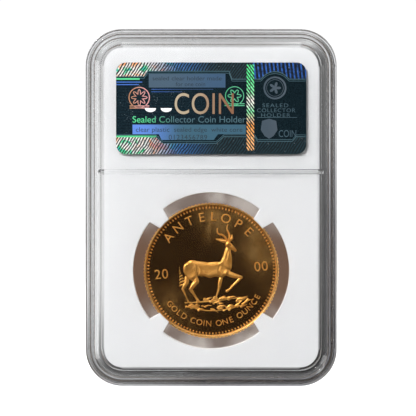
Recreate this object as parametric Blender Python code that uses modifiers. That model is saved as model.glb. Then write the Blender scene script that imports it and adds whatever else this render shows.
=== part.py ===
"""Graded coin slab: two clear plastic shells, welded round a white core that grips a gold coin.

Metres, +Z up. The slab stands on its bottom edge. X runs across its face, Y through its depth.
The rear shell, with the security label, faces -Y, and the front shell, with the certification label
behind it, faces +Y. The origin is the middle of the bottom edge.
"""

import math

import bmesh
import bpy
from mathutils import Matrix, Vector

MM = 0.001

# Overall outline, seen square on to the face
SLAB_WIDTH = 60.3 * MM
SLAB_HEIGHT = 85.7 * MM
CORNER_RADIUS = 8.8 * MM

# Coin
COIN_DIAMETER = 32.77 * MM
COIN_THICKNESS = 2.84 * MM
COIN_RIM_WIDTH = 0.55 * MM
COIN_FIELD_DEPTH = 0.30 * MM
COIN_EDGE_CHAMFER = 0.12 * MM
COIN_PLAY = 0.25 * MM

# White core, with four prongs that reach in from its aperture to the coin's rim
LIP_THICKNESS = 0.33 * MM
LIP_REACH = 0.40 * MM
APERTURE_GAP = 2.45 * MM
LOWER_WEB = 4.45 * MM
PRONG_COUNT = 4
PRONG_FIRST_ANGLE = math.radians(45)
PRONG_ROOT_WIDTH = 4.5 * MM
PRONG_TIP_WIDTH = 3.0 * MM
CORE_EDGE_ROUND = 0.30 * MM

# Clear shells, given as walls and as insets from the outer edge
WINDOW_WALL = 1.1 * MM
SIDE_WALL = 3.6 * MM
FACE_GAP = 0.30 * MM
CORE_SIDE_GAP = 0.80 * MM
SEAM_GAP = 0.20 * MM
RIM_HEIGHT = 0.70 * MM
LEDGE_WIDTH = 0.85 * MM
RIM_WIDTH = 1.15 * MM
RIM_SLOPE = 1.10 * MM
STACK_CLEARANCE = 0.15 * MM
REAR_EDGE_ROUND = 0.40 * MM
FRONT_EDGE_ROUND = 0.20 * MM
RIM_ROUND = 0.12 * MM
FRONT_RIM_DRAFT = 0.10 * MM

# Ultrasonic weld between the shells
WELD_RADIUS = 0.35 * MM
WELD_GAP = 0.25 * MM

# Bar moulded across each window between the label and the coin
DIVIDER_WIDTH = 1.0 * MM
DIVIDER_HEIGHT = 0.25 * MM
DIVIDER_ABOVE_APERTURE = 4.95 * MM

# Security label, in a shallow recess in the rear window
LABEL_ABOVE_DIVIDER = 4.2 * MM
LABEL_TOP_MARGIN = 8.0 * MM
LABEL_SIDE_MARGIN = 4.2 * MM
LABEL_CORNER = 2.4 * MM
LABEL_THICKNESS = 0.12 * MM
LABEL_RECESS = 0.20 * MM
LABEL_CLEARANCE = 0.25 * MM
ADHESIVE_GAP = 0.05 * MM

# Certification label, a card in a pocket in the core's front face
CARD_SIDE_MARGIN = 2.4 * MM
CARD_TOP_MARGIN = 2.4 * MM
CARD_THICKNESS = 0.30 * MM
CARD_POCKET_DEPTH = 0.65 * MM
CARD_CORNER = 1.2 * MM
CARD_CLEARANCE = 0.30 * MM
CARD_SINK = 0.05 * MM

# Marks that the moulding gates leave in the rear shell's outer edge
GATE_WIDTH = 1.2 * MM
GATE_DEPTH = 0.25 * MM
GATE_HEIGHT = 1.6 * MM
SIDE_GATE_FROM_END = 16.5 * MM

# How finely round shapes are divided
CORNER_SEGMENTS = 12
ROUND_SEGMENTS = 128
EDGE_SEGMENTS = 2
OVERCUT = 0.5 * MM

# Depths from the middle plane, the same on both sides, and where things sit on the face
COIN_RADIUS = COIN_DIAMETER / 2
CORE_FACE = COIN_THICKNESS / 2 + COIN_PLAY + LIP_THICKNESS
CAVITY_FACE = CORE_FACE + FACE_GAP
WINDOW_FACE = CAVITY_FACE + WINDOW_WALL
RIM_FACE = WINDOW_FACE + RIM_HEIGHT
SEAM_FACE = SEAM_GAP / 2
CORE_INSET = SIDE_WALL + CORE_SIDE_GAP
WINDOW_INSET = LEDGE_WIDTH + RIM_WIDTH + RIM_SLOPE
FRONT_RIM_WIDTH = LEDGE_WIDTH - STACK_CLEARANCE
APERTURE_RADIUS = COIN_RADIUS + APERTURE_GAP
COIN_HEIGHT = CORE_INSET + LOWER_WEB + APERTURE_RADIUS
DIVIDER_Z = COIN_HEIGHT + APERTURE_RADIUS + DIVIDER_ABOVE_APERTURE
LABEL_BOTTOM = DIVIDER_Z + LABEL_ABOVE_DIVIDER
LABEL_WIDTH = SLAB_WIDTH - 2 * (WINDOW_INSET + LABEL_SIDE_MARGIN)
LABEL_HEIGHT = SLAB_HEIGHT - LABEL_TOP_MARGIN - LABEL_BOTTOM
CARD_WIDTH = SLAB_WIDTH - 2 * (CORE_INSET + CARD_SIDE_MARGIN)
CARD_TOP = SLAB_HEIGHT - CORE_INSET - CARD_TOP_MARGIN
CARD_HEIGHT = CARD_TOP - LABEL_BOTTOM
WELD_INSET = SIDE_WALL / 2


def start_scene():
    """Empties the scene and returns the collections for the parts and for the shapes that cut them."""
    for leftover in list(bpy.data.objects):
        bpy.data.objects.remove(leftover)
    made = []
    for name in ("graded_coin_slab", "cutters"):
        collection = bpy.data.collections.new(name)
        bpy.context.scene.collection.children.link(collection)
        made.append(collection)
    return made


PARTS, CUTTERS = start_scene()


def add_object(name, data, collection, location=(0, 0, 0)):
    made = bpy.data.objects.new(name, data)
    made.location = location
    collection.objects.link(made)
    if collection == CUTTERS:
        made.hide_render = True
        made.display_type = "WIRE"
    return made


def mesh_from(name, bm):
    mesh = bpy.data.meshes.new(name)
    bm.to_mesh(mesh)
    bm.free()
    return mesh


def draw_in(bm, end_y, width, height, radius, amount):
    """Moves the outline at one end of a rounded block inwards by the same amount all round."""
    core = Vector((width / 2 - radius, height / 2 - radius))
    for vertex in bm.verts:
        if abs(vertex.co.y - end_y) > MM / 1000:
            continue
        flat = Vector((vertex.co.x, vertex.co.z))
        centre = Vector((math.copysign(core.x, flat.x), math.copysign(core.y, flat.y)))
        moved = flat - (flat - centre).normalized() * amount
        vertex.co.x, vertex.co.z = moved


def rounded_block(name, collection, size, radius, rear, front, centre_z, taper=0.0, rounds=None):
    """A plate with round corners, from y = rear to y = front.

    taper draws the front end in by that much. rounds maps an end's y to the radius of the fillet on its edge.
    """
    width, height = size
    bm = bmesh.new()
    bmesh.ops.create_cube(bm, size=1)
    bmesh.ops.scale(bm, verts=bm.verts, vec=(width, front - rear, height))
    bmesh.ops.translate(bm, verts=bm.verts, vec=(0, (front + rear) / 2, 0))
    corners = [e for e in bm.edges if abs(e.verts[0].co.y - e.verts[1].co.y) > MM / 1000]
    bmesh.ops.bevel(bm, geom=corners, offset=radius, segments=CORNER_SEGMENTS, profile=0.5, affect="EDGES")
    for end_y, fillet in (rounds or {}).items():
        edges = [e for e in bm.edges if all(abs(v.co.y - end_y) < MM / 1000 for v in e.verts)]
        bmesh.ops.bevel(bm, geom=edges, offset=fillet, segments=EDGE_SEGMENTS, profile=0.5, affect="EDGES")
    if taper:
        draw_in(bm, front, width, height, radius, taper)
    return add_object(name, mesh_from(name, bm), collection, (0, 0, centre_z))


def inset_block(name, collection, inset, rear, front, **shape):
    """A rounded block whose outline is the slab's own, moved in by inset."""
    size = (SLAB_WIDTH - 2 * inset, SLAB_HEIGHT - 2 * inset)
    return rounded_block(name, collection, size, CORNER_RADIUS - inset, rear, front, SLAB_HEIGHT / 2, **shape)


def cylinder_cutter(name, radius, half_depth, location, segments=ROUND_SEGMENTS):
    """A cylinder whose axis runs through the slab's depth."""
    bm = bmesh.new()
    bmesh.ops.create_cone(
        bm, cap_ends=True, segments=segments, radius1=radius, radius2=radius, depth=2 * half_depth,
        matrix=Matrix.Rotation(math.pi / 2, 4, "X"),
    )
    return add_object(name, mesh_from(name, bm), CUTTERS, location)


def combine(target, tool, operation="DIFFERENCE"):
    modifier = target.modifiers.new(f"{operation.lower()} {tool.name}", "BOOLEAN")
    modifier.operation = operation
    modifier.object = tool


def finish_material(part, name, colour, roughness, metallic=0.0, see_through=0.0):
    material = bpy.data.materials.new(name)
    material.use_nodes = True
    shader = material.node_tree.nodes["Principled BSDF"]
    shader.inputs["Base Color"].default_value = (*colour, 1)
    shader.inputs["Roughness"].default_value = roughness
    shader.inputs["Metallic"].default_value = metallic
    shader.inputs["Transmission Weight"].default_value = see_through
    part.data.materials.append(material)


def rounded_outline(inset):
    """Points round the slab's outline moved in by inset, as (x, z) from the middle of the face."""
    radius = CORNER_RADIUS - inset
    half = Vector((SLAB_WIDTH / 2 - CORNER_RADIUS, SLAB_HEIGHT / 2 - CORNER_RADIUS))
    points = []
    for quarter in range(4):
        centre = (half.x * (1, -1, -1, 1)[quarter], half.y * (1, 1, -1, -1)[quarter])
        for step in range(CORNER_SEGMENTS + 1):
            angle = (quarter + step / CORNER_SEGMENTS) * math.pi / 2
            points.append((centre[0] + radius * math.cos(angle), centre[1] + radius * math.sin(angle)))
    return points


def weld_loop(name, collection, radius):
    """A round bead that runs round the middle of the side wall, on the seam."""
    curve = bpy.data.curves.new(name, "CURVE")
    curve.dimensions = "3D"
    curve.bevel_depth = radius
    curve.bevel_resolution = 2
    points = rounded_outline(WELD_INSET)
    spline = curve.splines.new("POLY")
    spline.points.add(len(points) - 1)
    for point, (x, z) in zip(spline.points, points):
        point.co = (x, 0, z, 1)
    spline.use_cyclic_u = True
    return add_object(name, curve, collection, (0, 0, SLAB_HEIGHT / 2))


def curve_as_mesh(curve_object):
    """The same shape as a mesh, which can cut other meshes."""
    bpy.context.view_layer.update()
    evaluated = curve_object.evaluated_get(bpy.context.evaluated_depsgraph_get())
    mesh = bpy.data.meshes.new_from_object(evaluated)
    name, location = curve_object.name, curve_object.location.copy()
    bpy.data.objects.remove(curve_object)
    return add_object(name, mesh, CUTTERS, location)


def divider_bar(name, face_y, length):
    """A low bar with an oval section, half sunk in the window's outer face."""
    bm = bmesh.new()
    bmesh.ops.create_cone(
        bm, cap_ends=True, segments=24, radius1=1, radius2=1, depth=length,
        matrix=Matrix.Rotation(math.pi / 2, 4, "Y"),
    )
    bmesh.ops.scale(bm, verts=bm.verts, vec=(1, DIVIDER_HEIGHT, DIVIDER_WIDTH / 2))
    return add_object(name, mesh_from(name, bm), CUTTERS, (0, face_y, DIVIDER_Z))


def hollow_shell(shell, side):
    """Cuts the core's cavity and the weld's groove into a shell. side is -1 at the rear, 1 at the front."""
    ends = sorted((side * CAVITY_FACE, -side * OVERCUT))
    combine(shell, inset_block(f"{shell.name}_cavity", CUTTERS, SIDE_WALL, *ends))
    combine(shell, curve_as_mesh(weld_loop(f"{shell.name}_weld_groove", CUTTERS, WELD_RADIUS + WELD_GAP)))


def rear_shell():
    shell = inset_block(
        "rear_shell", PARTS, 0, -WINDOW_FACE, -SEAM_FACE, rounds={-WINDOW_FACE: REAR_EDGE_ROUND}
    )
    rim = inset_block(
        "rear_rim", CUTTERS, LEDGE_WIDTH, -RIM_FACE, -WINDOW_FACE + OVERCUT, rounds={-RIM_FACE: RIM_ROUND}
    )
    combine(shell, rim, "UNION")
    slope = RIM_SLOPE / RIM_HEIGHT
    recess = inset_block(
        "rear_window_recess", CUTTERS, LEDGE_WIDTH + RIM_WIDTH - slope * OVERCUT,
        -RIM_FACE - OVERCUT, -WINDOW_FACE, taper=slope * (RIM_HEIGHT + OVERCUT),
    )
    combine(shell, recess)
    hollow_shell(shell, -1)
    bar = divider_bar("rear_divider", -WINDOW_FACE, SLAB_WIDTH - 2 * WINDOW_INSET + RIM_SLOPE)
    combine(shell, bar, "UNION")
    label_seat = rounded_block(
        "security_label_recess", CUTTERS,
        (LABEL_WIDTH + 2 * LABEL_CLEARANCE, LABEL_HEIGHT + 2 * LABEL_CLEARANCE),
        LABEL_CORNER + LABEL_CLEARANCE,
        -WINDOW_FACE - OVERCUT, -WINDOW_FACE + LABEL_RECESS, LABEL_BOTTOM + LABEL_HEIGHT / 2,
    )
    combine(shell, label_seat)
    seam_side = OVERCUT - SEAM_FACE
    half_height = (GATE_HEIGHT + OVERCUT) / 2
    for number, (x, z) in enumerate(gate_places()):
        place = (x, seam_side - half_height, z)
        combine(shell, cylinder_cutter(f"gate_mark_{number + 1}", GATE_WIDTH / 2, half_height, place, 24))
    finish_material(shell, "clear_rear", (0.93, 0.95, 0.96), 0.05, see_through=1.0)


def gate_places():
    """Centres of the gate marks, just outside the edge: one at the top, and two on each side."""
    outside = GATE_WIDTH / 2 - GATE_DEPTH
    side_x = SLAB_WIDTH / 2 + outside
    heights = (SIDE_GATE_FROM_END, SLAB_HEIGHT - SIDE_GATE_FROM_END)
    return [(0, SLAB_HEIGHT + outside)] + [(side * side_x, z) for side in (-1, 1) for z in heights]


def front_shell():
    shell = inset_block("front_shell", PARTS, 0, SEAM_FACE, RIM_FACE, rounds={RIM_FACE: FRONT_EDGE_ROUND})
    draft = FRONT_RIM_DRAFT / RIM_HEIGHT
    wide_end = RIM_HEIGHT + OVERCUT
    recess = inset_block(
        "front_window_recess", CUTTERS, FRONT_RIM_WIDTH, WINDOW_FACE, WINDOW_FACE + wide_end,
        taper=-draft * wide_end,
    )
    combine(shell, recess)
    hollow_shell(shell, 1)
    bar = divider_bar("front_divider", WINDOW_FACE, SLAB_WIDTH - 2 * WINDOW_INSET)
    combine(shell, bar, "UNION")
    finish_material(shell, "clear_front", (0.93, 0.95, 0.96), 0.05, see_through=1.0)


def perimeter_weld():
    weld = weld_loop("perimeter_weld", PARTS, WELD_RADIUS)
    finish_material(weld, "weld", (0.85, 0.87, 0.88), 0.35, see_through=0.6)


def prong_gap(number):
    """A wedge with the plan of one prong, which is kept out of the aperture so that the prong stands."""
    tip, root = COIN_RADIUS - LIP_REACH, APERTURE_RADIUS
    growth = (PRONG_ROOT_WIDTH - PRONG_TIP_WIDTH) / (root - tip)
    inner, outer = tip - OVERCUT, root + OVERCUT
    bm = bmesh.new()
    bmesh.ops.create_cube(bm, size=1)
    for vertex in bm.verts:
        distance = inner if vertex.co.x < 0 else outer
        width = PRONG_TIP_WIDTH + growth * (distance - tip)
        vertex.co.x = distance
        vertex.co.z *= width
        vertex.co.y *= 2 * (CORE_FACE + 2 * OVERCUT)
    angle = PRONG_FIRST_ANGLE + number * 2 * math.pi / PRONG_COUNT
    bmesh.ops.rotate(bm, verts=bm.verts, matrix=Matrix.Rotation(-angle, 3, "Y"))
    return add_object(f"prong_{number + 1}", mesh_from("prong", bm), CUTTERS, (0, 0, COIN_HEIGHT))


def core_insert():
    core = inset_block(
        "core_insert", PARTS, CORE_INSET, -CORE_FACE, CORE_FACE,
        rounds={-CORE_FACE: CORE_EDGE_ROUND, CORE_FACE: CORE_EDGE_ROUND},
    )
    coin_centre = (0, 0, COIN_HEIGHT)
    aperture = cylinder_cutter("aperture", APERTURE_RADIUS, CORE_FACE + OVERCUT, coin_centre)
    for number in range(PRONG_COUNT):
        combine(aperture, prong_gap(number))
    combine(core, aperture)
    combine(core, cylinder_cutter("prong_tips", COIN_RADIUS - LIP_REACH, CORE_FACE + OVERCUT, coin_centre))
    seat_half_depth = COIN_THICKNESS / 2 + COIN_PLAY
    combine(core, cylinder_cutter("coin_seat", COIN_RADIUS + COIN_PLAY, seat_half_depth, coin_centre))
    pocket = rounded_block(
        "card_pocket", CUTTERS, (CARD_WIDTH + 2 * CARD_CLEARANCE, CARD_HEIGHT + 2 * CARD_CLEARANCE),
        CARD_CORNER + CARD_CLEARANCE, CORE_FACE - CARD_POCKET_DEPTH, CORE_FACE + OVERCUT,
        LABEL_BOTTOM + CARD_HEIGHT / 2,
    )
    combine(core, pocket)
    finish_material(core, "white_core", (0.88, 0.89, 0.90), 0.45)


def security_label():
    outer = WINDOW_FACE - LABEL_RECESS + ADHESIVE_GAP + LABEL_THICKNESS
    label = rounded_block(
        "security_label", PARTS, (LABEL_WIDTH, LABEL_HEIGHT), LABEL_CORNER,
        -outer, -outer + LABEL_THICKNESS, LABEL_BOTTOM + LABEL_HEIGHT / 2,
    )
    finish_material(label, "hologram_foil", (0.04, 0.10, 0.13), 0.25, metallic=0.8)


def certification_label():
    outer = CORE_FACE - CARD_SINK
    label = rounded_block(
        "certification_label", PARTS, (CARD_WIDTH, CARD_HEIGHT), CARD_CORNER,
        outer - CARD_THICKNESS, outer, LABEL_BOTTOM + CARD_HEIGHT / 2,
    )
    finish_material(label, "printed_card", (0.86, 0.85, 0.80), 0.6)


def coin_profile():
    """Half of the coin's section, as (radius, height), from the middle of one face round to the other's."""
    face = COIN_THICKNESS / 2
    field = face - COIN_FIELD_DEPTH
    rim_inside = COIN_RADIUS - COIN_RIM_WIDTH
    upper = [
        (0, field),
        (rim_inside - COIN_FIELD_DEPTH, field),
        (rim_inside, face),
        (COIN_RADIUS - COIN_EDGE_CHAMFER, face),
        (COIN_RADIUS, face - COIN_EDGE_CHAMFER),
    ]
    return upper + [(radius, -height) for radius, height in reversed(upper)]


def coin():
    profile = coin_profile()
    mesh = bpy.data.meshes.new("coin")
    edges = [(i, i + 1) for i in range(len(profile) - 1)]
    mesh.from_pydata([(radius, 0, height) for radius, height in profile], edges, [])
    made = add_object("coin", mesh, PARTS, (0, 0, COIN_HEIGHT))
    made.rotation_euler = (math.pi / 2, 0, 0)
    screw = made.modifiers.new("turned", "SCREW")
    screw.axis = "Z"
    screw.steps = screw.render_steps = ROUND_SEGMENTS
    screw.use_merge_vertices = True
    screw.merge_threshold = MM / 100
    finish_material(made, "gold", (0.72, 0.45, 0.14), 0.2, metallic=1.0)


rear_shell()
front_shell()
perimeter_weld()
core_insert()
security_label()
certification_label()
coin()
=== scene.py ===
"""Looks of the graded coin slab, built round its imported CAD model.

Metres, +Z up, in the CAD's own frame. Artwork and relief are drawn in a face's own space, with x to the
right, y up and z out of the face, and are then laid on the slab's rear face (-Y) or front face (+Y).
"""

import math
import random

import bmesh
import bpy
import numpy as np
from mathutils import Matrix, Vector


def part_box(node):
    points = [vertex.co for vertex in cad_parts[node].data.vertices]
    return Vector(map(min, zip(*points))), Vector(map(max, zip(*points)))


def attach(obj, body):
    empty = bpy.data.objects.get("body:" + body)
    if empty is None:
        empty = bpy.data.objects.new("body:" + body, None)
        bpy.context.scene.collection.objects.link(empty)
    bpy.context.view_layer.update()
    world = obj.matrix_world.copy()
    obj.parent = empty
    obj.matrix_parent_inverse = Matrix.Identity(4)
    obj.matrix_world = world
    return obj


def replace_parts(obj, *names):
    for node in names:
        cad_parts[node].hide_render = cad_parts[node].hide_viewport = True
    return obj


MM = 0.001
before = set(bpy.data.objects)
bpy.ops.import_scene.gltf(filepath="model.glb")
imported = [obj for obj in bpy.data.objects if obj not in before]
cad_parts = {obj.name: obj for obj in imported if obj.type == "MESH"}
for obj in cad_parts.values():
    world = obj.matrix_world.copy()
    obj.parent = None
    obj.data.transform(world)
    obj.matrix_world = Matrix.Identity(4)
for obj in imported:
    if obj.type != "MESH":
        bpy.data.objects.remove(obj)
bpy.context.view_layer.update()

# Places taken from the frame
REAR_LOW, REAR_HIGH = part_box("rear_shell")
CORE_LOW, CORE_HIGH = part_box("core_insert")
COIN_LOW, COIN_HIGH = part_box("coin")
FOIL_LOW, FOIL_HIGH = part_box("security_label")
CARD_LOW, CARD_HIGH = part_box("certification_label")
SLAB_SIZE = Vector((REAR_HIGH.x - REAR_LOW.x, REAR_HIGH.z - REAR_LOW.z))
SLAB_CENTRE = Vector((0, 0, SLAB_SIZE.y / 2))
COIN_CENTRE = (COIN_LOW + COIN_HIGH) / 2
COIN_RADIUS = (COIN_HIGH.x - COIN_LOW.x) / 2
COIN_FACE = (COIN_HIGH.y - COIN_LOW.y) / 2
CORE_INSET = CORE_LOW.x - REAR_LOW.x
CORE_FACE = CORE_HIGH.y
SEAM_FACE = -REAR_HIGH.y
RIM_FACE = -REAR_LOW.y

# The CAD's insets and depths that no box gives
CORNER_RADIUS = 8.8 * MM
SIDE_WALL = 3.6 * MM
WINDOW_FACE = 3.4 * MM
CAVITY_FACE = 2.3 * MM
LEDGE = 0.85 * MM
FRONT_RIM = 0.70 * MM
RIM_INSIDE = 2.0 * MM
WINDOW_INSET = 3.1 * MM
WELD_INSET = 1.8 * MM
WELD_HALF_WIDTH = 0.6 * MM
WELD_SWELL = 0.06 * MM
WELD_CLEARANCE = 0.04 * MM
DIVIDER_HEIGHT_Z = 51.47 * MM
DIVIDER_SECTION = Vector((0.25 * MM, 0.5 * MM))
LABEL_RECESS = 0.2 * MM
LABEL_CLEARANCE = 0.25 * MM
LABEL_CORNER = 2.4 * MM
CARD_CORNER = 1.2 * MM
CARD_CLEARANCE = 0.3 * MM
CARD_POCKET = 0.65 * MM
COIN_PLAY = 0.25 * MM
LIP_REACH = 0.4 * MM
APERTURE_RADIUS = COIN_RADIUS + 2.45 * MM
PRONG_ROOT = 4.5 * MM
PRONG_TIP = 3.0 * MM
COIN_FIELD = COIN_FACE - 0.30 * MM

# The coin lies a little anticlockwise in its prongs
COIN_TURN = math.radians(4.5)

REAR = Matrix.Rotation(math.pi / 2, 4, "X")
FRONT = Matrix.Rotation(math.pi, 4, "Z") @ REAR
SLAB_REAR = Matrix.Translation(SLAB_CENTRE) @ REAR
SLAB_FRONT = Matrix.Translation(SLAB_CENTRE) @ FRONT


# --- Shader nodes -------------------------------------------------------------------------------------


class Value:
    """A socket of a node tree. Arithmetic on it adds Math nodes."""

    def __init__(self, nodes, socket):
        self.nodes, self.socket = nodes, socket

    def operation(name):
        return lambda self, other: self.nodes.math(name, self, other)

    __add__ = operation("ADD")
    __sub__ = operation("SUBTRACT")
    __mul__ = operation("MULTIPLY")
    __truediv__ = operation("DIVIDE")
    __pow__ = operation("POWER")

    def __abs__(self):
        return self.nodes.math("ABSOLUTE", self)


class Nodes:
    """Short calls for the nodes of one node tree."""

    def __init__(self, tree):
        self.tree = tree

    def set(self, node, inputs):
        """Links or fills a node's sockets. A colour may leave out its alpha."""
        for key, value in inputs.items():
            socket = node.inputs[key]
            if isinstance(value, Value):
                value = value.socket
            if isinstance(value, bpy.types.NodeSocket):
                self.tree.links.new(value, socket)
            elif socket.type == "RGBA" and len(value) == 3:
                socket.default_value = (*value, 1)
            else:
                socket.default_value = value

    def add(self, kind, inputs=None, **settings):
        node = self.tree.nodes.new(kind)
        for key, value in settings.items():
            setattr(node, key, value)
        self.set(node, inputs or {})
        return node

    def value(self, kind, inputs, output=0, **settings):
        return Value(self, self.add(kind, inputs, **settings).outputs[output])

    def math(self, operation, *values, clamp=False):
        return self.value("ShaderNodeMath", dict(enumerate(values)), operation=operation, use_clamp=clamp)

    def larger(self, first, second):
        return self.math("MAXIMUM", first, second)

    def wave(self, value, length):
        return self.math("SINE", value * (2 * math.pi / length))

    def far(self, x, y):
        """The distance from the origin."""
        return self.math("SQRT", x * x + y * y)

    def mix(self, factor, first, second, blend="MIX"):
        inputs = {0: factor, 6: first, 7: second}
        return self.value("ShaderNodeMix", inputs, 2, data_type="RGBA", blend_type=blend)

    def span(self, value, low, high, to_low=0.0, to_high=1.0):
        """value's place between low and high, eased, as a number from to_low to to_high."""
        inputs = {"Value": value, "From Min": low, "From Max": high, "To Min": to_low, "To Max": to_high}
        return self.value("ShaderNodeMapRange", inputs, interpolation_type="SMOOTHSTEP")

    def ramp(self, factor, stops):
        """A colour ramp. stops maps a position to a colour, or to a grey level."""
        node = self.add("ShaderNodeValToRGB", {"Fac": factor})
        elements = node.color_ramp.elements
        while len(elements) < len(stops):
            elements.new(1.0)
        for element, (position, colour) in zip(elements, sorted(stops.items())):
            element.position = position
            element.color = (*colour, 1) if isinstance(colour, tuple) else (colour, colour, colour, 1)
        return Value(self, node.outputs["Color"])

    def place(self):
        """The point on the piece, in millimetres."""
        point = self.add("ShaderNodeTexCoord").outputs["Object"]
        return self.value("ShaderNodeVectorMath", {0: point, "Scale": 1 / MM}, operation="SCALE")

    def axes(self, vector=None):
        node = self.add("ShaderNodeSeparateXYZ", {0: vector or self.place()})
        return [Value(self, output) for output in node.outputs]

    def noise(self, scale, detail=2.0, roughness=0.5, vector=None, distortion=0.0):
        """Noise, with scale in cycles for each millimetre."""
        return self.value("ShaderNodeTexNoise", {
            "Vector": vector or self.place(), "Scale": scale, "Detail": detail, "Roughness": roughness,
            "Distortion": distortion,
        })

    def cells(self, scale):
        return self.value("ShaderNodeTexVoronoi", {"Vector": self.place(), "Scale": scale})


class Shader(Nodes):
    """A new material, which starts as a Principled BSDF."""

    def __init__(self, name):
        self.material = bpy.data.materials.new(name)
        self.material.use_nodes = True
        super().__init__(self.material.node_tree)
        self.surface = self.tree.nodes["Principled BSDF"]
        self.output = self.tree.nodes["Material Output"]

    def bump(self, height, depth):
        """Fine relief, depth in millimetres."""
        bump = self.value("ShaderNodeBump", {"Height": height, "Distance": depth * MM})
        self.set(self.surface, {"Normal": bump})


# --- Shapes -------------------------------------------------------------------------------------------


def show(name, mesh, material, body, matrix=None, sharp=35, crisp=False):
    """Adds a finished mesh as a piece that rides on a body.

    matrix takes it from its own space to the slab's. crisp keeps its flat faces optically flat.
    """
    if matrix is not None:
        mesh.transform(matrix)
    mesh.materials.clear()
    mesh.materials.append(material)
    mesh.polygons.foreach_set("use_smooth", [True] * len(mesh.polygons))
    mesh.set_sharp_from_angle(angle=math.radians(sharp))
    piece = bpy.data.objects.new(name, mesh)
    bpy.context.scene.collection.objects.link(piece)
    if crisp:
        weighted = piece.modifiers.new("flat faces", "WEIGHTED_NORMAL")
        weighted.keep_sharp, weighted.weight = True, 90
    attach(piece, body)
    return piece


def mesh_of(points, faces, name="mesh"):
    mesh = bpy.data.meshes.new(name)
    mesh.from_pydata([tuple(p) for p in points], [], faces)
    mesh.update()
    return mesh


def join(meshes, name="joined"):
    bm = bmesh.new()
    for mesh in meshes:
        bm.from_mesh(mesh)
        bpy.data.meshes.remove(mesh)
    joined = bpy.data.meshes.new(name)
    bm.to_mesh(joined)
    bm.free()
    return joined


def arc(centre, radius, start, end, steps):
    """Points on a circle, angles in radians, both ends included."""
    return [
        (centre[0] + radius * math.cos(a), centre[1] + radius * math.sin(a))
        for a in (start + (end - start) * i / steps for i in range(steps + 1))
    ]


def rounded_rectangle(width, height, radius, steps=16):
    """A closed outline, anticlockwise, centred on the origin."""
    x, y = width / 2 - radius, height / 2 - radius
    points = []
    for quarter, (cx, cy) in enumerate(((x, y), (-x, y), (-x, -y), (x, -y))):
        points += arc((cx, cy), radius, quarter * math.pi / 2, (quarter + 1) * math.pi / 2, steps)
    return points


def slab_outline(inset):
    return rounded_rectangle(SLAB_SIZE.x - 2 * inset, SLAB_SIZE.y - 2 * inset, CORNER_RADIUS - inset)


def filleted(corners, steps=5):
    """A polyline whose corners, given as (x, y, radius), are rounded."""
    points = []
    for index, (x, y, radius) in enumerate(corners):
        here = Vector((x, y))
        if radius == 0 or index in (0, len(corners) - 1):
            points.append(here)
            continue
        before = (Vector(corners[index - 1][:2]) - here).normalized()
        after = (Vector(corners[index + 1][:2]) - here).normalized()
        half = before.angle(after) / 2
        reach = radius / math.tan(half)
        centre = here + (before + after).normalized() * (radius / math.sin(half))
        start, end = here + before * reach - centre, here + after * reach - centre
        turn = start.angle_signed(end)
        for step in range(steps + 1):
            points.append(centre + Matrix.Rotation(-turn * step / steps, 2) @ start)
    return points


def tube(rings, closed=False):
    """A skin over a row of rings, capped at both ends, or with the last ring joined to the first."""
    count = len(rings[0])
    pairs = [(i, i + 1) for i in range(len(rings) - 1)]
    faces = [tuple(reversed(range(count))), tuple((len(rings) - 1) * count + i for i in range(count))]
    if closed:
        pairs.append((len(rings) - 1, 0))
        faces = []
    for first, second in pairs:
        a, b = first * count, second * count
        faces += [(a + i, a + (i + 1) % count, b + (i + 1) % count, b + i) for i in range(count)]
    mesh = mesh_of([point for ring in rings for point in ring], faces)
    face_outwards(mesh)
    return mesh


def swept(profile, outline, closed=False):
    """A solid whose section runs round an outline.

    profile is (inset, depth) pairs, and outline is a function of inset.
    """
    return tube([[(x, y, depth) for x, y in outline(inset)] for inset, depth in profile], closed)


def face_outwards(mesh, weld=False):
    """Turns the faces of a closed mesh outwards. weld first joins the points that lie together."""
    bm = bmesh.new()
    bm.from_mesh(mesh)
    if weld:
        bmesh.ops.remove_doubles(bm, verts=bm.verts, dist=MM / 1000)
    bmesh.ops.recalc_face_normals(bm, faces=bm.faces)
    bm.to_mesh(mesh)
    bm.free()


def plate(outline, low, high, edge=0.0):
    """A flat plate from an outline, between two heights. edge is a small chamfer on its upper side."""
    levels = [(outline, low), (outline, high)]
    if edge:
        levels = [(outline, low), (outline, high - edge), (shrunk(outline, edge), high)]
    return tube([[(x, y, z) for x, y in ring] for ring, z in levels])


def shrunk(outline, amount):
    """The outline moved inwards by amount, for an anticlockwise outline."""
    moved = []
    for index, point in enumerate(outline):
        here = Vector(point)
        before = here - Vector(outline[index - 1])
        after = Vector(outline[(index + 1) % len(outline)]) - here
        along = (before.normalized() + after.normalized()).normalized()
        moved.append(here + Vector((-along.y, along.x)) * amount)
    return moved


def ribbon(points, width, low, high, closed=False):
    """A flat line of one width along some points."""
    line = [Vector(p) for p in points]
    count = len(line)
    rings = []
    for index, here in enumerate(line):
        before = here - line[index - 1] if closed or index > 0 else line[1] - here
        after = line[(index + 1) % count] - here if closed or index < count - 1 else before
        along = (before.normalized() + after.normalized()).normalized()
        stretch = 1 / max(0.4, math.cos(before.angle(after, 0) / 2))
        across = Vector((-along.y, along.x)) * width / 2 * stretch
        left, right = here - across, here + across
        rings.append([(*left, low), (*right, low), (*right, high), (*left, high)])
    return tube(rings, closed)


def evaluated_mesh(thing):
    """The mesh of an object with its modifiers applied. The object is removed."""
    bpy.context.view_layer.update()
    mesh = bpy.data.meshes.new_from_object(thing.evaluated_get(bpy.context.evaluated_depsgraph_get()))
    bpy.data.objects.remove(thing)
    return mesh


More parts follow.
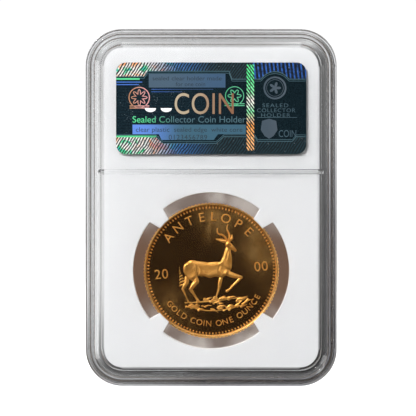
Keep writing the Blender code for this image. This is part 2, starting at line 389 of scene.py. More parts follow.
def combined(mesh, tools):
    """mesh after Boolean steps. tools is a list of (operation, mesh)."""
    target = bpy.data.objects.new("target", mesh)
    bpy.context.scene.collection.objects.link(target)
    helpers = []
    for operation, tool in tools:
        helper = bpy.data.objects.new("tool", tool)
        bpy.context.scene.collection.objects.link(helper)
        helpers.append(helper)
        modifier = target.modifiers.new("cut", "BOOLEAN")
        modifier.operation, modifier.object, modifier.solver = operation, helper, "EXACT"
    result = evaluated_mesh(target)
    for helper in helpers:
        bpy.data.objects.remove(helper)
    return result


def cylinder(radius, low, high, centre=(0, 0), steps=48):
    return plate(arc(centre, radius, 0, 2 * math.pi * (1 - 1 / steps), steps - 1), low, high)


def lettering(text, height, depth, edge=0.0, spacing=1.0):
    """Text with capitals of that height, centred on the origin, from z = 0 up to depth."""
    curve = bpy.data.curves.new("lettering", "FONT")
    curve.body = text
    curve.size = height / 0.73
    curve.space_character = spacing
    curve.align_x = "CENTER"
    curve.resolution_u = 6
    curve.extrude = depth / 2
    curve.bevel_depth = edge
    curve.offset = -edge
    thing = bpy.data.objects.new("lettering", curve)
    bpy.context.scene.collection.objects.link(thing)
    mesh = evaluated_mesh(thing)
    mesh.transform(Matrix.Translation((0, -height / 2, depth / 2)))
    return mesh


def on_arc(text, height, radius, start, end, depth, edge):
    """Letters spread along an arc, upright at the coin's top and with their feet outwards at its foot."""
    below = math.sin((start + end) / 2) < 0
    narrow = {" ": 0.55, "I": 0.45, "1": 0.6, "L": 0.85, "E": 0.9, "T": 0.95}
    widths = [narrow.get(character, 1.0) for character in text]
    travelled = 0
    meshes = []
    for character, width in zip(text, widths):
        angle = start + (end - start) * (travelled + width / 2) / sum(widths)
        travelled += width
        if character == " ":
            continue
        tilt = angle + math.pi / 2 if below else angle - math.pi / 2
        mesh = lettering(character, height, depth, edge)
        place = Matrix.Translation((radius * math.cos(angle), radius * math.sin(angle), 0))
        mesh.transform(place @ Matrix.Rotation(tilt, 4, "Z"))
        meshes.append(mesh)
    return join(meshes)


# --- Materials ----------------------------------------------------------------------------------------


def clear_plastic(name, tint, roughness):
    """Clear moulded plastic, with painted shade in the rim's lower right: a greyer tint there.

    Shadow rays pass it, so that what is sealed inside is lit.
    """
    s = Shader(name)
    haze = s.span(s.noise(0.9, 6, 0.7), 0.5, 0.8) * s.span(s.noise(14, 3, 0.6), 0.45, 0.75)
    x, _, z = s.axes()
    up = z - SLAB_CENTRE.z / MM
    inwards = s.larger(abs(x) - SLAB_SIZE.x / MM / 2, abs(up) - SLAB_SIZE.y / MM / 2)
    # painted shade: the rim turns greyer towards the lower right, standing in for the darker studio seen
    # through it
    painted_rim_shade = s.span(inwards, -3.1, -2.7) * s.span(up * 0.7 - x, -14, -32)
    s.set(s.surface, {
        "Base Color": s.mix(haze, s.mix(painted_rim_shade, tint, (0.80, 0.80, 0.81)), (0.86, 0.87, 0.88)),
        "Roughness": haze * 0.08 + roughness,
        "Transmission Weight": 1.0,
        "IOR": 1.585,
    })
    s.bump(s.noise(0.12, 1) + haze * 0.01, 0.01)
    shadow = s.add("ShaderNodeLightPath").outputs["Is Shadow Ray"]
    clear = s.value("ShaderNodeBsdfTransparent", {"Color": (0.95, 0.96, 0.965)})
    blend = s.value("ShaderNodeMixShader", {0: shadow, 1: s.surface.outputs[0], 2: clear})
    s.set(s.output, {"Surface": blend})
    return s.material


def painted_divider_shadow():
    """Painted shadow on a fine moulded step: a dull grey, half clear, for the dark lines that the divider's
    shadow draws along its sides, and fainter towards the left.
    """
    s = Shader("painted_divider_shadow")
    # painted shadow of the divider: half clear dark grey, fainter towards the left
    shown = s.span(s.axes()[0], -24, 10, 0.12, 0.75) * s.span(s.noise(0.5, 4), 0.2, 0.5, 0.7, 1.0)
    s.set(s.surface, {"Base Color": (0.10, 0.10, 0.105), "Roughness": 0.4, "Alpha": shown})
    return s.material


def flash_plastic():
    """Scorched, half clear plastic, brown in places and worn thin in others."""
    s = Shader("flash_plastic")
    worn = s.span(s.noise(0.35, 4), 0.3, 0.5, 0.45, 0.8)
    tint = s.mix(s.span(s.noise(0.8, 3), 0.4, 0.6), (0.09, 0.07, 0.055), (0.16, 0.13, 0.11))
    s.set(s.surface, {"Base Color": tint, "Roughness": 0.35, "Alpha": worn})
    return s.material


def white_plastic():
    s = Shader("white_core")
    speckle = s.noise(3.0, 5, 0.6)
    s.set(s.surface, {
        "Base Color": s.mix(s.span(s.noise(0.05, 2), 0.3, 0.7), (0.775, 0.77, 0.775), (0.755, 0.75, 0.755)),
        "Roughness": s.span(speckle, 0.2, 0.8, 0.36, 0.52),
        "Specular IOR Level": 0.4,
    })
    s.bump(speckle, 0.0015)
    return s.material


def gold(name, colour, roughness, frost=0.0, haze=False):
    """Struck gold. frost is the depth of its grain in millimetres; haze adds handling marks to a mirror."""
    s = Shader(name)
    grain = s.noise(9.0, 5, 0.65)
    cloud = s.noise(0.35, 4, 0.6, distortion=0.6)
    rough = grain * (roughness * 0.5) + roughness
    deeper = (colour[0] * 0.86, colour[1] * 0.76, colour[2] * 0.6)
    if haze:
        x, _, z = s.axes()
        up = z - COIN_CENTRE.z / MM
        bloom = s.span(abs(x + 0.6), 4.6, 0.0) * s.span(up, 3.0, 14.0)
        smear = s.span(x, 1.0, -9.0) * s.span(up, 1.0, -9.0)
        streaks = s.value("ShaderNodeCombineXYZ", {0: x, 2: z * 0.3})
        marks = s.larger(bloom, smear * 0.6) * s.span(s.noise(0.35, 4, 0.6, streaks), 0.1, 0.9)
        glow = s.span(x + up, 3.0, 16.0) * s.span(s.noise(0.12, 3), 0.3, 0.6, 0.3, 1.0)
        rim = s.span(s.far(x, up), COIN_RADIUS / MM - 0.75, COIN_RADIUS / MM - 0.55)
        rough = rough + s.larger(s.larger(marks, glow * 0.5) * 0.36, rim * 0.22)
    tint = s.mix(s.span(cloud, 0.3, 0.75), colour, deeper)
    s.set(s.surface, {"Base Color": tint, "Metallic": 1.0, "Roughness": rough})
    if frost:
        s.bump(grain + s.noise(1.4, 3, 0.6) * 3.0, frost)
    return s.material


def printed(name, colour, second=None, along=None, metallic=0.35, roughness=0.35):
    """Ink on foil: a colour that shifts to a second one from along[0] to along[1], in mm across the slab."""
    s = Shader(name)
    speck = s.noise(5.0, 4, 0.7)
    base = s.mix(s.span(s.axes()[0], *along), colour, second) if second else colour
    s.set(s.surface, {
        "Base Color": s.mix(s.span(speck, 0.5, 0.8, 0, 0.45), base, (0.02, 0.03, 0.04)),
        "Metallic": metallic,
        "Roughness": s.span(speck, 0.3, 0.7, roughness, roughness + 0.15),
    })
    return s.material


def foil_ground():
    """The security label's ground: dark teal foil, with rainbow stripes in its left corners."""
    s = Shader("hologram_foil")
    x, _, z = s.axes()
    up = z - (FOIL_LOW.z + FOIL_HIGH.z) / 2 / MM
    slanted = s.span(s.wave(x * 0.84 + up * -0.54 + s.noise(0.25, 2) * 1.2, 0.60), -0.35, 0.35)
    rainbow = s.ramp(s.noise(0.22, 3, 0.6, distortion=1.0), {
        0.30: (0.03, 0.25, 0.75), 0.40: (0.05, 0.75, 0.30), 0.47: (0.9, 0.92, 0.9), 0.54: (0.95, 0.9, 0.85),
        0.60: (0.95, 0.42, 0.12), 0.67: (0.95, 0.45, 0.5), 0.76: (0.12, 0.3, 0.9),
    })
    blue = s.mix(s.span(x, 2.0, -9.0), (0.014, 0.045, 0.06), (0.04, 0.16, 0.42))
    bright = s.mix(s.span(x, -7.0, -17.0), blue, rainbow)
    # The blue upright stripes in the top right corner
    corner = s.span(x, 9.5, 10.5) * s.span(up, 5.5, 6.5)
    bright = s.mix(corner, bright, (0.03, 0.14, 0.55))
    upright = s.span(s.wave(x + up * 0.12, 0.94), 0.0, 0.6) * s.span(s.noise(1.2, 4, 0.7), 0.35, 0.55)
    stripes = s.mix(corner, slanted, upright)
    worn = s.mix(0.75, stripes, (0.15, 0.15, 0.15))
    stripes = s.mix(s.span(s.noise(1.7, 4, 0.75), 0.50, 0.62), stripes, worn)
    fans = s.value("ShaderNodeTexWave", {
        "Vector": s.place(), "Scale": 0.9, "Distortion": 9.0, "Detail": 2.0, "Detail Scale": 0.7,
    }, "Fac", wave_type="RINGS")
    ground = s.mix(s.span(fans, 0.55, 0.95), (0.005, 0.014, 0.02), (0.04, 0.085, 0.13))
    pattern = s.mix(stripes, (0.002, 0.007, 0.010), bright)
    colour = s.mix(s.span(abs(up), 6.0, 6.6), ground, pattern)
    dust = s.span(s.cells(1.1), 0.11, 0.04) * 0.5
    s.set(s.surface, {
        "Base Color": s.mix(dust, colour, (0.75, 0.8, 0.85)),
        "Metallic": 0.35,
        "Roughness": s.span(s.noise(4, 4), 0.3, 0.7, 0.28, 0.42),
    })
    s.bump(fans, 0.004)
    return s.material


def dark_plaque():
    s = Shader("foil_plaque")
    grain = s.noise(6.0, 5, 0.7)
    x, _, z = s.axes()
    teal = s.mix(s.span(grain, 0.35, 0.8), (0.002, 0.006, 0.009), (0.014, 0.034, 0.045))
    lines = s.span(s.wave(z, 0.36), 0.6, 1.0) * s.span(x, 8, -4, 0.0, 0.35)
    specks = s.span(s.cells(2.6), 0.20, 0.06) * s.span(s.noise(0.5, 3), 0.42, 0.62)
    specks = specks * s.span(x, 2, -16, 0.05, 0.8)
    s.set(s.surface, {
        "Base Color": s.mix(specks, s.mix(lines, teal, (0.03, 0.07, 0.11)), (0.45, 0.55, 0.62)),
        "Metallic": 0.2,
        "Roughness": s.span(grain, 0.3, 0.7, 0.2, 0.3),
        "Specular IOR Level": 0.1,
    })
    return s.material


def security_strip():
    """The upright strip: slanted flecks whose colour runs green, white, green and orange down the label."""
    s = Shader("security_strip")
    x, _, z = s.axes()
    colour = s.ramp(s.span(z, FOIL_HIGH.z / MM, FOIL_LOW.z / MM), {
        0.05: (0.10, 0.85, 0.30), 0.25: (0.25, 0.8, 0.4), 0.36: (0.85, 0.8, 0.75), 0.45: (0.8, 0.95, 0.8),
        0.55: (0.2, 0.85, 0.4), 0.68: (0.75, 0.6, 0.4), 0.76: (0.9, 0.36, 0.06), 0.95: (0.95, 0.5, 0.2),
    })
    flecks = s.wave(x * 1.4 + z, 1.0) + (s.noise(1.6, 2) - 0.5) * 3.0
    middle = s.span(abs(x - 9.4), 0.10, 0.0)
    shown = s.math("SUBTRACT", s.span(flecks, -0.1, 0.25), middle, clamp=True)
    tint = s.mix(shown, (0.01, 0.012, 0.015), colour)
    s.set(s.surface, {"Base Color": tint, "Metallic": 0.2, "Roughness": 0.35})
    return s.material


def card_stock():
    s = Shader("card_stock")
    fibre = s.noise(4.0, 6, 0.7)
    tint = s.mix(s.span(fibre, 0.3, 0.7), (0.80, 0.79, 0.75), (0.74, 0.73, 0.69))
    s.set(s.surface, {"Base Color": tint, "Roughness": 0.6})
    s.bump(fibre, 0.008)
    return s.material


# --- The shells and the weld --------------------------------------------------------------------------


def weld_swell(half_width, steps=14):
    """The low swelling of the weld, as (place across it, height above the seam)."""
    shares = (2 * i / steps - 1 for i in range(steps + 1))
    return [(half_width * t, WELD_SWELL * (0.5 + 0.5 * math.cos(math.pi * t))) for t in shares]


def cavity_profile():
    """The part of the section that both shells share, from the seam's outer edge in to the window."""
    seam = SEAM_FACE
    groove = [(WELD_INSET + x, seam + depth) for x, depth in weld_swell(WELD_HALF_WIDTH)]
    before = filleted([(0, 2 * MM, 0), (0, seam, 0.06 * MM), (WELD_INSET - WELD_HALF_WIDTH, seam, 0)])[1:-1]
    after = filleted([
        (WELD_INSET + WELD_HALF_WIDTH, seam, 0), (SIDE_WALL, seam, 0.06 * MM),
        (SIDE_WALL, CAVITY_FACE, 0.08 * MM), (SIDE_WALL + 0.6 * MM, CAVITY_FACE, 0),
    ])[1:]
    return before + groove + after


def divider(length):
    """A bar with an oval section and round ends, half sunk in the window."""
    stations = [(-length / 2, 0.25), (-length / 2 + 0.15 * MM, 0.8), (-length / 2 + 0.4 * MM, 1.0)]
    stations += [(-x, share) for x, share in reversed(stations)]
    count = 24
    turns = [2 * math.pi * i / count for i in range(count)]
    mesh = tube([
        [(x, share * DIVIDER_SECTION.y * math.cos(a), share * DIVIDER_SECTION.x * math.sin(a)) for a in turns]
        for x, share in stations
    ])
    mesh.transform(Matrix.Translation((0, DIVIDER_HEIGHT_Z - SLAB_CENTRE.z, WINDOW_FACE)))
    return mesh


def gate_marks():
    """Cutters for the scars that the moulding gates leave in the outer edge."""
    radius, bite, depth = 0.6 * MM, 0.25 * MM, 1.6 * MM
    x, y = SLAB_SIZE.x / 2 + radius - bite, SLAB_SIZE.y / 2 + radius - bite
    side = SLAB_SIZE.y / 2 - 16.5 * MM
    places = [(0, y), (-x, side), (-x, -side), (x, side), (x, -side)]
    return [cylinder(radius, -MM, SEAM_FACE + depth, place, 20) for place in places]


def label_seat(lowest, highest, corner, clearance, low, high):
    """A cutter for the shallow recess that one of the labels lies in."""
    size = (highest.x - lowest.x + 2 * clearance, highest.z - lowest.z + 2 * clearance)
    seat = plate(rounded_rectangle(*size, corner + clearance), low, high)
    seat.transform(Matrix.Translation((0, (lowest.z + highest.z) / 2 - SLAB_CENTRE.z, 0)))
    return seat


def rear_shell(material):
    profile = filleted([
        (WINDOW_INSET + 0.7 * MM, WINDOW_FACE, 0), (WINDOW_INSET, WINDOW_FACE, 0.08 * MM),
        (RIM_INSIDE, RIM_FACE, 0.1 * MM), (LEDGE, RIM_FACE, 0.08 * MM), (LEDGE, WINDOW_FACE, 0.05 * MM),
        (0, WINDOW_FACE, 0.12 * MM), (0, 2 * MM, 0),
    ])[:-1] + cavity_profile()
    shell = swept(profile, slab_outline)
    floor = WINDOW_FACE - LABEL_RECESS
    seat = label_seat(FOIL_LOW, FOIL_HIGH, LABEL_CORNER, LABEL_CLEARANCE, floor, RIM_FACE)
    bar = divider(SLAB_SIZE.x - 2 * WINDOW_INSET + 0.3 * MM)
    tools = [("UNION", bar), ("DIFFERENCE", seat)] + [("DIFFERENCE", mark) for mark in gate_marks()]
    mesh = combined(shell, tools)
    piece = show("rear_shell_clear", mesh, material, "holder", SLAB_REAR, 28, crisp=True)
    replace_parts(piece, "rear_shell")


def front_shell(material):
    profile = filleted([
        (FRONT_RIM + 0.8 * MM, WINDOW_FACE, 0), (FRONT_RIM, WINDOW_FACE, 0.12 * MM),
        (FRONT_RIM - 0.1 * MM, RIM_FACE, 0.1 * MM), (0, RIM_FACE, 0.12 * MM), (0, 2 * MM, 0),
    ])[:-1] + cavity_profile()
    shell = swept(profile, slab_outline)
    mesh = combined(shell, [("UNION", divider(SLAB_SIZE.x - 2 * WINDOW_INSET))])
    piece = show("front_shell_clear", mesh, material, "holder", SLAB_FRONT, 28, crisp=True)
    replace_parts(piece, "front_shell")


def divider_flanks(material):
    """Fine steps along both sides of each divider, where the bar meets the window, which carry the bar's
    painted shadow.
    """
    y = DIVIDER_SECTION.y + 0.02 * MM
    for side, facing, spare in (("rear", REAR, 2 * WINDOW_INSET), ("front", FRONT, 7 * MM)):
        half = (SLAB_SIZE.x - spare) / 2 - 0.2 * MM
        steps = [ribbon([(-half, up), (half, up)], 0.14 * MM, 0.005 * MM, 0.05 * MM) for up in (-y, y)]
        place = Matrix.Translation((0, 0, DIVIDER_HEIGHT_Z)) @ facing
        place = place @ Matrix.Translation((0, 0, WINDOW_FACE))
        show(f"{side}_divider_flanks", join(steps), material, "holder", place, 30)


def perimeter_weld(material):
    """The fused bead, a little uneven, and the row of crushed teeth along the seam's inner edge."""
    rng = random.Random(5)
    swell = weld_swell(WELD_HALF_WIDTH - WELD_CLEARANCE)
    upper = [(WELD_INSET + x, SEAM_FACE - WELD_CLEARANCE + depth) for x, depth in swell]
    meshes = [swept(upper + [(x, -depth) for x, depth in reversed(upper)], slab_outline, closed=True)]
    half_long, half_wide, half_high = 0.13 * MM, 0.14 * MM, 0.085 * MM
    points, faces = [], []
    for here, across in resampled(slab_outline(SIDE_WALL - 0.18 * MM), 0.5 * MM):
        along = Vector((across.y, -across.x))
        wide = half_wide * (0.75 + 0.25 * rng.random())
        corners = [along * half_long, across * wide, along * -half_long, across * -wide]
        start = len(points)
        points += [(here.x + c.x, here.y + c.y, 0) for c in corners]
        points += [(here.x, here.y, half_high), (here.x, here.y, -half_high)]
        for i in range(4):
            j = (i + 1) % 4
            faces += [(start + i, start + j, start + 4), (start + j, start + i, start + 5)]
    meshes.append(mesh_of(points, faces))
    mesh = join(meshes)
    face_outwards(mesh)
    piece = show("weld_bead", mesh, material, "holder", SLAB_REAR, 50)
    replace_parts(piece, "perimeter_weld")


def seam_flash(material):
    """A thin line of dark flash, squeezed out along the weld's outer side."""
    outer, inner, half_thick = 0.99 * MM, 1.21 * MM, 0.03 * MM
    section = [(outer, half_thick), (inner, half_thick), (inner, -half_thick), (outer, -half_thick)]
    mesh = swept(section, slab_outline, closed=True)
    show("seam_flash", mesh, material, "holder", SLAB_REAR, 30)


def resampled(outline, pitch):
    """Evenly spaced points round a closed outline, each with the unit vector that points inwards."""
    line = [Vector(p) for p in outline]
    lengths = [(line[(i + 1) % len(line)] - p).length for i, p in enumerate(line)]
    count = round(sum(lengths) / pitch)
    step = sum(lengths) / count
    placed, index, passed = [], 0, 0.0
    for number in range(count):
        target = number * step
        while passed + lengths[index] < target:
            passed += lengths[index]
            index += 1
        along = (line[(index + 1) % len(line)] - line[index]).normalized()
        placed.append((line[index] + along * (target - passed), Vector((-along.y, along.x))))
    return placed


# --- The core -----------------------------------------------------------------------------------------


def aperture_outline(steps=40):
    """The opening's outline: four arcs, and between them the prongs that reach in to the coin."""
    tip = COIN_RADIUS - LIP_REACH
    root_half = math.asin(PRONG_ROOT / 2 / APERTURE_RADIUS)
    tip_half = math.asin(PRONG_TIP / 2 / tip)
    points = []
    for quarter in range(4):
        prong = math.radians(45 + 90 * quarter)
        points += arc((0, 0), APERTURE_RADIUS, prong - math.pi / 2 + root_half, prong - root_half, steps)
        points += arc((0, 0), tip, prong - tip_half, prong + tip_half, 8)
    return points


def core_insert(material):
    curve = bpy.data.curves.new("core", "CURVE")
    curve.dimensions, curve.fill_mode = "2D", "BOTH"
    edge = 0.15 * MM
    curve.extrude, curve.bevel_depth, curve.bevel_resolution = CORE_FACE - edge, edge, 4
    curve.offset = -edge
    down = COIN_CENTRE.z - SLAB_CENTRE.z
    for outline in (slab_outline(CORE_INSET), [(x, y + down) for x, y in aperture_outline()]):
        spline = curve.splines.new("POLY")
        spline.points.add(len(outline) - 1)
        for point, (x, y) in zip(spline.points, outline):
            point.co = (x, y, 0, 1)
        spline.use_cyclic_u = True
    thing = bpy.data.objects.new("core", curve)
    bpy.context.scene.collection.objects.link(thing)
    mesh = evaluated_mesh(thing)
    face_outwards(mesh, weld=True)
    seat_depth = COIN_FACE + COIN_PLAY
    seat = cylinder(COIN_RADIUS + COIN_PLAY, -seat_depth, seat_depth, (0, down), 160)
    bottom, floor = -CORE_FACE - MM, CARD_POCKET - CORE_FACE
    pocket = label_seat(CARD_LOW, CARD_HIGH, CARD_CORNER, CARD_CLEARANCE, bottom, floor)
    mesh = combined(mesh, [("DIFFERENCE", seat), ("DIFFERENCE", pocket)])
    piece = show("white_core", mesh, material, "holder", SLAB_REAR, 30, crisp=True)
    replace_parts(piece, "core_insert")


# --- The coin -----------------------------------------------------------------------------------------


def coin_matrix(facing):
    turn = COIN_TURN if facing is REAR else -COIN_TURN
    return Matrix.Translation(COIN_CENTRE) @ facing @ Matrix.Rotation(turn, 4, "Z")


def on_coin(name, mesh, material, facing, smooth=70, height=0.0):
    """Shows a piece of gold on one face of the coin."""
    place = coin_matrix(facing) @ Matrix.Translation((0, 0, height))
    return show(name, mesh, material, "gripped_coin", place, smooth)


def coin_blank(material):
    """The turned disc: mirror fields, raised rims with rounded edges, and a reeded edge."""
    reeds, steps = 120, 8
    count = reeds * steps
    half = filleted([
        (COIN_RADIUS - 3 * MM, COIN_FIELD, 0), (COIN_RADIUS - 0.90 * MM, COIN_FIELD, 0.20 * MM),
        (COIN_RADIUS - 0.55 * MM, COIN_FACE, 0.30 * MM), (COIN_RADIUS - 0.26 * MM, COIN_FACE, 0.14 * MM),
        (COIN_RADIUS, COIN_FACE - 0.25 * MM, 0.08 * MM), (COIN_RADIUS, COIN_FACE - 0.5 * MM, 0),
    ], 5)
    profile = [(r, z) for r, z in half] + [(r, -z) for r, z in reversed(half)]
    waves = [(2 * math.pi * i / count, 0.5 - 0.5 * math.cos(2 * math.pi * i / steps)) for i in range(count)]

    def outline(radius):
        depth = 0.22 * MM * max(0.0, min(1.0, (radius - COIN_RADIUS + 0.34 * MM) / (0.26 * MM)))
        reaches = [(a, radius - depth * wave) for a, wave in waves]
        return [(reach * math.cos(a), reach * math.sin(a)) for a, reach in reaches]

    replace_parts(on_coin("coin_blank", swept(profile, outline), material, REAR, 40), "coin")


def denticles(name, material, facing):
    """The ring of small teeth inside the rim: a rounded bump, long towards the centre, many times over."""
    number, around, levels = 120, 10, 3
    long, wide, high = 0.28 * MM, 0.20 * MM, 0.24 * MM
    rings = []
    for level in range(levels + 1):
        lift = level / levels * math.pi / 2
        reach = math.cos(lift)
        turns = [2 * math.pi * i / around for i in range(around)]
        z = COIN_FIELD - 0.02 * MM + high * math.sin(lift)
        rings.append([
            (COIN_RADIUS * 0.924 + long * reach * math.cos(a), wide * reach * math.sin(a), z) for a in turns
        ])
    teeth = []
    for tooth in range(number):
        mesh = tube(rings)
        mesh.transform(Matrix.Rotation(2 * math.pi * tooth / number, 4, "Z"))
        teeth.append(mesh)
    mesh = join(teeth)
    face_outwards(mesh, weld=True)
    on_coin(name, mesh, material, facing, 60)


class Relief:
    """A height map on the coin, drawn with swollen strokes. Lengths are shares of the coin's radius."""

    def __init__(self, low, high, pitch):
        self.xs = np.arange(low[0], high[0], pitch)
        self.ys = np.arange(low[1], high[1], pitch)
        self.x, self.y = np.meshgrid(self.xs, self.ys)
        self.height = np.full(self.x.shape, -1.0)

    def along(self, points):
        """For each stretch between points: its ends, and every cell's share along it and distance from it."""
        for a, b in zip(points, points[1:]):
            dx, dy = b[0] - a[0], b[1] - a[1]
            t = ((self.x - a[0]) * dx + (self.y - a[1]) * dy) / (dx * dx + dy * dy + 1e-12)
            t = np.clip(t, 0, 1)
            yield a, b, t, np.hypot(self.x - a[0] - t * dx, self.y - a[1] - t * dy)

    def stroke(self, points, lift=0.0, blend=0.02, swell=1.0):
        """A limb along points, given as (x, y, radius), merged into what is there."""
        best = np.full(self.x.shape, -1.0)
        for a, b, t, away in self.along(points):
            radius = a[2] + (b[2] - a[2]) * t
            inside = radius * np.sqrt(np.clip(1 - (away / radius) ** 2, 0, None))
            best = np.maximum(best, np.where(away < radius, inside, -2 * (away - radius)))
        self.merge(np.where(best > 0, best * swell + lift, best), blend)

    def merge(self, shape, blend):
        gap = np.clip(0.5 + 0.5 * (shape - self.height) / blend, 0, 1)
        joined = self.height * (1 - gap) + shape * gap + blend * gap * (1 - gap)
        both = (shape > -blend) & (self.height > -blend)
        self.height = np.where(both, joined, np.maximum(shape, self.height))

    def groove(self, points, width, depth):
        """A crease along some points, which only bites into what is already raised."""
        nearest = np.min([away for _, _, _, away in self.along(points)], axis=0)
        cut = depth * np.exp(-((nearest / width) ** 2))
        self.height = np.where(self.height > 0, np.maximum(self.height - cut, 0.004), self.height)

    def mesh(self, top, reach=11, share=0.7):
        """The raised part as a mesh, in metres, which dips just below the field round its outline.

        As in struck relief, the whole is kept low and its muscles and folds stand out: share of the height
        goes to what differs from the surroundings, which are taken over reach cells.
        """
        inside = (self.height > 0).astype(float)
        raised = np.power(np.clip(self.height, 0, None), 0.85)
        around = blurred(raised * inside, reach) / np.maximum(blurred(inside, reach), 1e-6)
        local = (raised - around) * inside
        limit = np.percentile(np.abs(local[inside > 0]), 92)
        shape = (1 - share) + share * np.clip(local / limit, -1, 1) * 0.5
        plateau = 1 - np.exp(-np.clip(self.height, 0, None) / 0.022)
        dip = np.maximum(self.height * 3 * COIN_RADIUS, -0.05 * MM)
        z = np.where(inside > 0, top * plateau * shape / (1 - share / 2), dip)
        keep = self.height > -0.012
        cell = keep[:-1, :-1] | keep[1:, :-1] | keep[:-1, 1:] | keep[1:, 1:]
        rows, columns = z.shape
        corner = np.arange(rows * columns).reshape(rows, columns)
        quads = np.stack([corner[:-1, :-1], corner[:-1, 1:], corner[1:, 1:], corner[1:, :-1]], -1)[cell]
        used, index = np.unique(quads, return_inverse=True)
        flat = np.stack([self.x * COIN_RADIUS, self.y * COIN_RADIUS, COIN_FIELD + z], -1).reshape(-1, 3)
        return mesh_of(flat[used].tolist(), index.reshape(-1, 4).tolist())


def blurred(values, reach):
    """values smoothed by a bell curve of reach cells each way."""
    offsets = np.arange(-3 * reach, 3 * reach + 1)
    weights = np.exp(-(offsets ** 2) / (2 * reach ** 2))
    weights /= weights.sum()
    for axis in (0, 1):
        values = np.apply_along_axis(np.convolve, axis, values, weights, "same")
    return values


def curved(start, bend, end, thick, thin, steps=8):
    """A stroke along a quadratic curve, tapering from thick to thin."""
    points = []
    for i in range(steps + 1):
        t = i / steps
        x, y = ((1 - t) ** 2 * s + 2 * t * (1 - t) * b + t * t * e for s, b, e in zip(start, bend, end))
        points.append((x, y, thick + (thin - thick) * t))
    return points


def antelope(material):
    """A walking antelope, facing right, with one foreleg raised, built up from swollen strokes."""
    relief = Relief((-0.60, -0.50), (0.52, 0.70), 0.0032)
    far_legs = [
        ([(-0.33, -0.04, 0.075), (-0.37, -0.14, 0.04), (-0.44, -0.24, 0.021), (-0.39, -0.38, 0.013),
          (-0.37, -0.435, 0.018)], -0.012, 0.02),
        ([(0.15, -0.06, 0.06), (0.12, -0.16, 0.032), (0.09, -0.28, 0.019), (0.045, -0.39, 0.013),
          (0.055, -0.435, 0.018)], -0.008, 0.02),
    ]
    tail_locks = []
    for step in range(7):
        y = 0.10 - 0.045 * step
        bend, end = (-0.47 - 0.008 * step, y), (-0.49 + 0.004 * step, y - 0.07)
        tail_locks.append((curved((-0.40, y), bend, end, 0.018, 0.006), -0.01, 0.004))
    trunk = [
        ([(-0.28, 0.05, 0.135), (-0.05, 0.02, 0.115), (0.15, 0.01, 0.125), (0.215, 0.04, 0.10)], 0.0, 0.04),
        ([(0.205, 0.06, 0.098), (0.245, 0.18, 0.066), (0.272, 0.31, 0.042)], 0.015, 0.03),
        ([(0.278, 0.36, 0.046), (0.318, 0.325, 0.036), (0.372, 0.27, 0.022)], 0.03, 0.012),
    ]
    muscles = [
        ([(-0.32, 0.065, 0.085), (-0.29, -0.04, 0.075)], 0.065, 0.02),
        ([(0.16, 0.07, 0.055), (0.205, -0.03, 0.06)], 0.06, 0.012),
        ([(-0.13, 0.0, 0.06), (-0.02, -0.035, 0.075), (0.07, -0.02, 0.06)], 0.045, 0.04),
        (curved((0.285, 0.24), (0.31, 0.10), (0.27, -0.01), 0.022, 0.028), 0.03, 0.015),
    ]
    near_legs = [
        ([(-0.27, -0.05, 0.07), (-0.235, -0.14, 0.046), (-0.325, -0.25, 0.024), (-0.25, -0.385, 0.014),
          (-0.225, -0.437, 0.021)], 0.03, 0.012),
        ([(0.215, -0.04, 0.055), (0.29, -0.085, 0.042), (0.43, -0.135, 0.023), (0.30, -0.245, 0.015),
          (0.24, -0.30, 0.014), (0.205, -0.318, 0.02)], 0.03, 0.012),
    ]
    ears = [
        ([(0.262, 0.395, 0.018), (0.20, 0.425, 0.027), (0.11, 0.455, 0.007)], 0.03, 0.006),
        ([(0.30, 0.40, 0.016), (0.338, 0.445, 0.018), (0.345, 0.50, 0.006)], 0.01, 0.006),
    ]
    horns = [
        (curved((0.27, 0.40), (0.235, 0.52), (0.165, 0.52), 0.017, 0.012), 0.02, 0.006),
        (curved((0.165, 0.52), (0.12, 0.54), (0.14, 0.61), 0.012, 0.006), 0.02, 0.006),
        (curved((0.29, 0.405), (0.325, 0.50), (0.285, 0.56), 0.017, 0.011), 0.02, 0.006),
        (curved((0.285, 0.56), (0.265, 0.60), (0.295, 0.65), 0.011, 0.006), 0.02, 0.006),
    ]
    for points, lift, blend in far_legs + tail_locks + trunk + muscles + near_legs + ears + horns:
        relief.stroke(points, lift, blend)
    folds = [
        ([(-0.21, 0.09), (-0.185, 0.02), (-0.20, -0.05), (-0.17, -0.09)], 0.014, 0.010),
        ([(0.13, 0.05), (0.10, -0.01), (0.14, -0.07)], 0.012, 0.008),
    ]
    for rib in range(5):
        x, low = -0.11 + 0.04 * rib, 0.012 * (rib % 2)
        folds.append(([(x, 0.02 - low), (x - 0.02, -0.045 - low)], 0.011, 0.0025))
    neck_and_face = [
        ([(0.235, 0.15), (0.27, 0.26)], 0.009, 0.014), ([(0.22, 0.43), (0.15, 0.447)], 0.007, 0.014),
        ([(0.300, 0.352), (0.318, 0.348)], 0.009, 0.05), ([(0.352, 0.262), (0.378, 0.260)], 0.006, 0.03),
    ]
    for points, width, depth in folds + neck_and_face:
        relief.groove(points, width, depth)
    on_coin("antelope_relief", relief.mesh(0.30 * MM), material, REAR)


